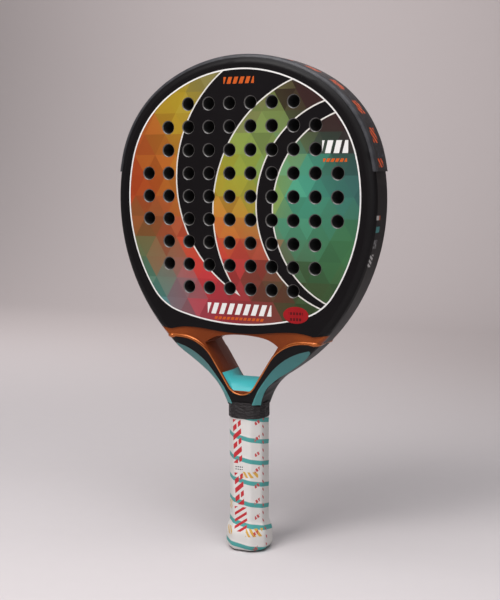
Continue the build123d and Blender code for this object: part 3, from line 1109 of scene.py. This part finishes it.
@dataclass
class Head:
    """The drilled head: core, two printed faces, pinstripes and the label. Sizes in mm."""

    rows: tuple[int, ...] = (6, 8, 8, 10, 10, 10, 8, 8, 6)
    pitch: float = 20.8
    hole: float = 5.56
    chamfer: float = 0.7
    mouth: float = 0.6
    half: float = 19.0
    stripe: Outline = Outline()
    stripe_width: float = 1.3

    def drill(self) -> Piece:
        """The drilling tool: one waisted peg with flared mouths, copied over the pattern.

        Returns:
            The whole pattern as one piece.
        """
        peg = Piece.added(
            "peg", bpy.ops.mesh.primitive_cylinder_add, vertices=28, radius=self.hole * MM,
            depth=2 * (self.half - self.chamfer) * MM, rotation=(pi / 2, 0, 0),
        )
        peg.seat()
        for side in Side:
            peg.pick(lambda face: face.normal.y * side.value > 0.9)
            radius = self.hole
            with peg.editing("FACE"):
                for step in (self.chamfer, self.mouth):
                    move = (0, side.value * step * MM, 0)
                    bpy.ops.mesh.extrude_region_move(TRANSFORM_OT_translate={"value": move})
                    share = 1 + step / radius
                    bpy.ops.transform.resize(value=(share, 1, share))
                    radius += step
        copies = []
        middle = (len(self.rows) - 1) / 2
        for row, count in enumerate(self.rows):
            for column in range(count):
                copy = placed("peg", peg.obj.data.copy())
                x = (column - (count - 1) / 2) * self.pitch
                copy.location = (x * MM, 0, (FACE_Z + (middle - row) * self.pitch) * MM)
                copies.append(copy)
        peg.drop()
        Piece.clear()
        for copy in copies:
            copy.select_set(True)
        bpy.context.view_layer.objects.active = copies[0]
        bpy.ops.object.join()
        return Piece(bpy.context.active_object, "drill").seat()

    def face(self, side: Side, drill: Piece, prints: Sequence[bpy.types.Material]) -> None:
        """One printed face with its chamfered holes.

        Args:
            side: front or rear.
            drill: the drilling tool.
            prints: materials of the print and of the cut edges.
        """
        node = f"{side.word}_face"
        piece = Piece.copied(node, f"{node}_print").cut(drill).dress(*prints)
        for polygon in piece.obj.data.polygons:
            polygon.material_index = 0 if polygon.normal.y * side.value > 0.95 else 1
        piece.smooth(40).settle("face_print", node)

    def core(self, drill: Piece) -> None:
        """The foam core with round holes."""
        foam = Finish("dark_foam", (0.010, 0.010, 0.010), roughness=0.9, grain=0.0002, grain_scale=1500).make()
        Piece.copied("head_core", "drilled_core").cut(drill).dress(foam).smooth(40).settle("core_foam", "head_core")

    def pinstripe(self, side: Side, white: bpy.types.Material) -> None:
        """The white line round a face.

        Args:
            side: front or rear.
            white: its material.
        """
        middle = (side.value * (self.half + 0.02), FACE_Z)
        line = spun_line(f"{side.word}_pinstripe", self.stripe, middle, self.stripe_width)
        line.modify("MIRROR", use_axis=(True, False, False), merge_threshold=0.00001)
        line.modify("SOLIDIFY", thickness=0.00005, offset=0.0)
        line.outward().dress(white).settle("face_print")

    def label(self) -> None:
        """The oval label, with softened rim."""
        red = LabelPrint("red_label", (0.36, 0.010, 0.014), roughness=0.4, specular=0.15, mottle=0.2).make()
        piece = Piece.copied("face_sticker", "oval_label")
        piece.modify("BEVEL", width=0.00008, segments=2, limit_method="ANGLE")
        piece.dress(red).smooth(40).settle("sticker_red", "face_sticker")

    def build(self) -> None:
        """Builds the head."""
        drill = self.drill()
        prints = [
            FacePrint("face_print", (0.0060, 0.0050, 0.0056), roughness=0.38, specular=0.10).make(),
            Finish("cut_laminate", (0.10, 0.095, 0.09), roughness=0.32, coat=0.3, grain=0.00004).make(),
        ]
        for side in Side:
            self.face(side, drill, prints)
        self.core(drill)
        drill.drop()
        white = Finish("white_line", (0.74, 0.73, 0.71), roughness=0.35, mottle=0.03).make()
        for side in Side:
            self.pinstripe(side, white)
        self.label()


@dataclass
class Throat:
    """Frame, bridge, copper trims, saddle and the panels of the arms. Sizes in mm."""

    half: float = 19.1
    lean: float = 32.5
    opening_top: tuple[float, float] = (37.05, 194.0)
    floor_z: float = 148.6
    turn_radius: float = 41.3
    crest_z: float = 199.3
    side_x: float = 77.0
    edge: float = 6.5
    wrap: float = 12.0
    saddle_top: float = 167.0  # above it the saddle's solid is finished in copper
    bead_radii: tuple[float, float] = (0.65, 2.2)
    bead_swell: tuple[float, float] = (27.0, 53.0)  # distances out between which the bead thickens

    def lip(self) -> list[tuple[float, float, float, float]]:
        """The right half of the lip line, from the centre line out and round to the side wall.

        Returns:
            Points of x, depth, z and the bead's radius, in mm.
        """
        lean = radians(self.lean)
        (thin, thick), (start, end) = self.bead_radii, self.bead_swell
        (tx, tz), floor = self.opening_top, self.floor_z
        bottom = (tx * cos(lean) - (tz - floor) * sin(lean)) / (1 - sin(lean))
        turn_z = self.crest_z - self.turn_radius * (1 - sin(lean))
        turn_x = tx - (tz - turn_z) * sin(lean) / cos(lean)
        cx, cz = turn_x + self.turn_radius * cos(lean), turn_z - self.turn_radius * sin(lean)
        path = []
        for step in range(13):
            angle = (pi / 2 - lean) * step / 12
            path.append(((bottom + thin) * sin(angle), floor + bottom - (bottom + thin) * cos(angle)))
        for step in range(21):
            angle = lean + (pi / 2 - lean) * step / 20
            path.append((cx - (self.turn_radius - thin) * cos(angle), cz + (self.turn_radius - thin) * sin(angle)))
        corner_x, crest = self.side_x - self.edge, path[-1][1]
        path += [(cx + (corner_x - cx) * step / 10, crest) for step in range(1, 11)]
        points = []
        for x, z in path:
            swell = min(max((x - start) / (end - start), 0.0), 1.0)
            radius = thin + (thick - thin) * swell * swell * (3 - 2 * swell)
            points.append((x, self.half - radius, z, radius))
        deep = self.half - self.edge
        for step in range(1, 9):
            angle, radius = pi / 2 * step / 8, thick * (1 - 0.25 * step / 8)
            reach = self.edge - radius * 0.75
            points.append((corner_x + reach * sin(angle), deep + reach * cos(angle), crest, radius))
        for step in range(1, 9):
            radius = thick * 0.75 * (1 - 0.7 * step / 8)
            points.append((self.side_x - radius * 0.75, deep - self.wrap * step / 8, crest, radius))
        return points

    def shell(self) -> None:
        """The lacquered frame and bridge."""
        lacquer = CarbonLacquer("black_lacquer", (0.0048, 0.0042, 0.0046), roughness=0.40, specular=0.12).make()
        Piece.copied("frame_tube", "lacquered_frame").dress(lacquer).smooth(24).settle("carbon_black", "frame_tube")
        bridge = Piece.copied("throat_bridge", "lacquered_bridge")
        bridge.dress(lacquer).smooth(40).settle("carbon_black", "throat_bridge")

    def trims(self) -> None:
        """The copper trims and their raised lips."""
        copper = CopperLacquer(
            "copper_lacquer", (0.19, 0.033, 0.006), roughness=0.36, metallic=0.35, specular=0.2, coat=0.06
        ).make()
        # the lip's copper is a brighter copy of the trims' lacquer: a painted highlight along the raised ridge, with
        # its deep colour as painted shade
        bright = CopperLacquer(
            "copper_lip", (0.62, 0.19, 0.045), roughness=0.28, metallic=0.6, specular=0.3, coat=0.2,
            deep=(0.4, 0.1, 0.02),
        ).make()
        for side in Side:
            node = f"{side.word}_throat_trim"
            Piece.copied(node, f"{side.word}_copper_trim").dress(copper).smooth(40).settle("copper_trim", node)
            self.bead(side, bright)
        shoulders = Piece.copied("saddle_damper", "copper_shoulders").trim(self.saddle_top, True)
        shoulders.dress(copper).smooth(40).settle("copper_trim")

    def bead(self, side: Side, finish: bpy.types.Material) -> None:
        """The raised lip: a tapering bead along the trim's edge.

        Args:
            side: front or rear.
            finish: its material, the brighter copper that paints the ridge's highlight.
        """
        name = f"{side.word}_copper_lip"
        curve = bpy.data.curves.new(name, "CURVE")
        curve.dimensions, curve.bevel_depth, curve.bevel_resolution = "3D", MM, 4
        curve.use_fill_caps = True
        right = self.lip()
        points = [(-x, y, z, r) for x, y, z, r in reversed(right[1:])] + right
        spline = curve.splines.new("POLY")
        spline.points.add(len(points) - 1)
        for point, (x, y, z, r) in zip(spline.points, points):
            point.co = (x * MM, side.value * y * MM, z * MM, 1)
            point.radius = r
        Piece(placed(name, curve), name).take()
        bpy.ops.object.convert(target="MESH")
        piece = Piece(bpy.context.active_object, name).outward()
        piece.dress(finish).smooth(60).settle("copper_trim")

    def inlays(self) -> None:
        """The saddle and the four arm panels."""
        rubber = MouldedTeal("teal_rubber", (0.035, 0.36, 0.38), roughness=0.45, pale=(0.05, 0.40, 0.42)).make()
        panel = MouldedTeal(
            "teal_panel", (0.050, 0.150, 0.148), roughness=0.42, specular=0.3, pale=(0.065, 0.27, 0.27)
        ).make()
        saddle = Piece.copied("saddle_damper", "teal_saddle").trim(self.saddle_top, False)
        saddle.dress(rubber).smooth(40).settle("teal_rubber", "saddle_damper")
        for word in ("front_left", "front_right", "rear_left", "rear_right"):
            node = f"{word}_arm_panel"
            Piece.copied(node, f"{word}_teal_panel").dress(panel).smooth(40).settle("teal_panel", node)

    def build(self) -> None:
        """Builds the throat."""
        self.shell()
        self.trims()
        self.inlays()


@dataclass
class Bumper:
    """The edge protector round the top of the head."""

    def build(self) -> None:
        """Builds the strip."""
        rubber = BumperStrip("bumper_black", (0.007, 0.007, 0.008), roughness=0.36, specular=0.2, coat=0.05).make()
        strip = Piece.copied("edge_protector", "head_bumper")
        strip.dress(rubber).smooth(50).settle("protector_black", "edge_protector")


@dataclass
class Handle:
    """The wrapped handle. Sizes in mm."""

    across: tuple[float, float] = (17.0, 16.5)
    bevel: float = 17.68
    sharpness: float = 26.0
    foot: float = 1.0
    top: float = 136.0
    pitch: float = 20.3
    phase: float = 0.94
    columns: int = 96
    rows: int = 18
    flare: float = 3.3
    flare_top: float = 30.0
    flare_run: float = 14.0
    rim: float = 6.5
    rim_draw: float = 6.1
    thickness: float = 0.85
    lap: float = 0.42
    lap_share: float = 0.22
    tuck: float = 0.12
    crown: float = 0.14
    sink: float = 0.3

    def girth(self, angle: float, growth: float) -> float:
        """The softly cornered octagon's radius.

        Args:
            angle: the direction in radians.
            growth: how much larger it is, in mm.

        Returns:
            The radius in mm.
        """
        total = 0.0
        for face in range(8):
            wall = (self.across[0], self.bevel, self.across[1], self.bevel)[face % 4] + growth
            reach = cos(angle - face * pi / 4) / wall
            if reach > 0:
                total += reach**self.sharpness
        return total ** (-1 / self.sharpness)

    def growth(self, z: float) -> float:
        """How far the butt flares, and draws in under its rim.

        Args:
            z: the height in mm.

        Returns:
            The growth in mm.
        """
        swell = min(max((self.flare_top - z) / self.flare_run, 0.0), 1.0)
        grown = self.flare * swell * swell * (3 - 2 * swell)
        if z < self.rim:
            drop = min((self.rim - z) / self.rim, 1.0)
            grown -= self.rim_draw * (1 - (1 - drop * drop) ** 0.5)
        return grown

    def tape_radius(self, angle: float, place: float, z: float) -> float:
        """The tape's outer radius, with its lap over the last turn, its crown and small ripples.

        Args:
            angle: direction round the handle in radians.
            place: turns of the spiral from its start.
            z: the height in mm.

        Returns:
            The radius in mm.
        """
        share = place % 1.0
        lap = self.lap * (1 - min(share / self.lap_share, 1.0)) ** 1.5 - self.tuck * max(0.0, (share - 0.9) / 0.1)
        crown = self.crown * sin(pi * share)
        low = min(max(z, 0.0), self.top + 20)
        ripple = 0.05 * sin(5 * angle + 1.7 * place) + 0.04 * sin(11 * angle - 2.3 * place)
        return self.girth(angle, self.growth(low) - self.sink) + lap + crown + ripple

    def tape(self) -> Piece:
        """The overgrip's outer surface: a tape wound down the handle, mapped by turn and spiral.

        Returns:
            The open sheet, longer than the handle at both ends.
        """
        per_turn, across = self.columns, self.rows
        turns = int((self.top - self.foot) / self.pitch) + 4
        verts, uvs, faces = [], [], []
        for row in range(turns * across + 1):
            for column in range(per_turn):
                angle, place = tau * column / per_turn, row / across
                z = self.top + self.pitch * (1 + self.phase - place - column / per_turn)
                radius = self.tape_radius(angle, place, z)
                verts.append((radius * cos(angle - pi) * MM, radius * sin(angle - pi) * MM, z * MM))
        for row in range((turns - 1) * across):
            for column in range(per_turn):
                here, below = row * per_turn + column, (row + 1) * per_turn + column
                if column + 1 < per_turn:
                    faces.append((here, below, below + 1, here + 1))
                else:
                    start = (row + across) * per_turn
                    faces.append((here, below, start + per_turn, start))
                u, v, end = column / per_turn, row / across, (column + 1) / per_turn
                uvs += [(u, v), (u, v + 1 / across), (end, v + 1 / across), (end, v)]
        mesh = bpy.data.meshes.new("white_overgrip")
        mesh.from_pydata(verts, [], faces)
        layer = mesh.uv_layers.new(name="wrap")
        layer.data.foreach_set("uv", [value for uv in uvs for value in uv])
        return Piece(placed("white_overgrip", mesh), "white_overgrip")

    def overgrip(self) -> None:
        """The overgrip, cut off at the foot and under the collar and given its thickness."""
        piece = self.tape().trim(self.foot, True, close=False).trim(self.top, False, close=False)
        with piece.editing():
            bpy.ops.mesh.select_all(action="SELECT")
            bpy.ops.mesh.delete_loose(use_faces=False)
        piece.outward()
        piece.modify("SOLIDIFY", thickness=self.thickness * MM, offset=-1.0)
        wrap = GripWrap("overgrip_white", (0.70, 0.685, 0.66), roughness=0.62, coat=0.05).make()
        piece.dress(wrap)
        piece.take()
        bpy.ops.object.shade_smooth_by_angle(angle=radians(50))
        piece.settle("overgrip_white", "overgrip")

    def collar(self) -> None:
        """The rubber collar, stretched over the grip's end."""
        piece = Piece.copied("grip_collar", "rubber_collar")
        piece.modify("BEVEL", width=0.0004, segments=3, limit_method="ANGLE", angle_limit=radians(20))
        rubber = PressedRubber("collar_rubber", (0.0125, 0.0105, 0.011), roughness=0.5, specular=0.3).make()
        piece.dress(rubber).smooth(60).settle("collar_rubber", "grip_collar")

    def build(self) -> None:
        """Builds the handle."""
        self.overgrip()
        self.collar()


@dataclass
class HiddenParts:
    """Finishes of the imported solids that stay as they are."""

    def build(self) -> None:
        """Gives each remaining solid its finish."""
        finishes = {
            ("protector_tape",): Finish("foam_tape", (0.35, 0.35, 0.34), roughness=0.8, grain=0.0001),
            ("leg_spacer",): Finish("leg_foam", (0.62, 0.60, 0.50), roughness=0.9, grain=0.0003, grain_scale=1200),
            ("front_pallet", "rear_pallet"): Finish(
                "pallet_foam", (0.10, 0.10, 0.10), roughness=0.85, grain=0.0002, grain_scale=900
            ),
            ("cap_staples",): Finish("staple_steel", (0.55, 0.55, 0.56), roughness=0.3, metallic=1.0, grain=0.00001),
            ("butt_cap",): Finish("cap_black", (0.018, 0.018, 0.019), roughness=0.5, grain=0.00005),
            ("base_grip",): Finish("cushion_black", (0.022, 0.022, 0.024), roughness=0.75, grain=0.00015),
            ("finishing_tape",): Finish("tape_black", (0.015, 0.015, 0.016), roughness=0.35, grain=0.00002),
        }
        for nodes, finish in finishes.items():
            made = finish.make()
            for node in nodes:
                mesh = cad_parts[node].data
                mesh.materials.clear()
                mesh.materials.append(made)
                log.info("%s: %s", node, finish.name)


def main() -> None:
    """Builds the studio and the racket."""
    logging.basicConfig(level=logging.INFO, format="%(name)s: %(message)s")
    for assembly in (Studio(), Head(), Throat(), Bumper(), Handle(), HiddenParts()):
        assembly.build()
    Piece.clear()
    boxes = {"cad": SOLIDS_BOX, "visual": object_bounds()}
    sizes = {name: [list(corner) for corner in box] for name, box in boxes.items()}


if __name__ == "__main__":
    main()
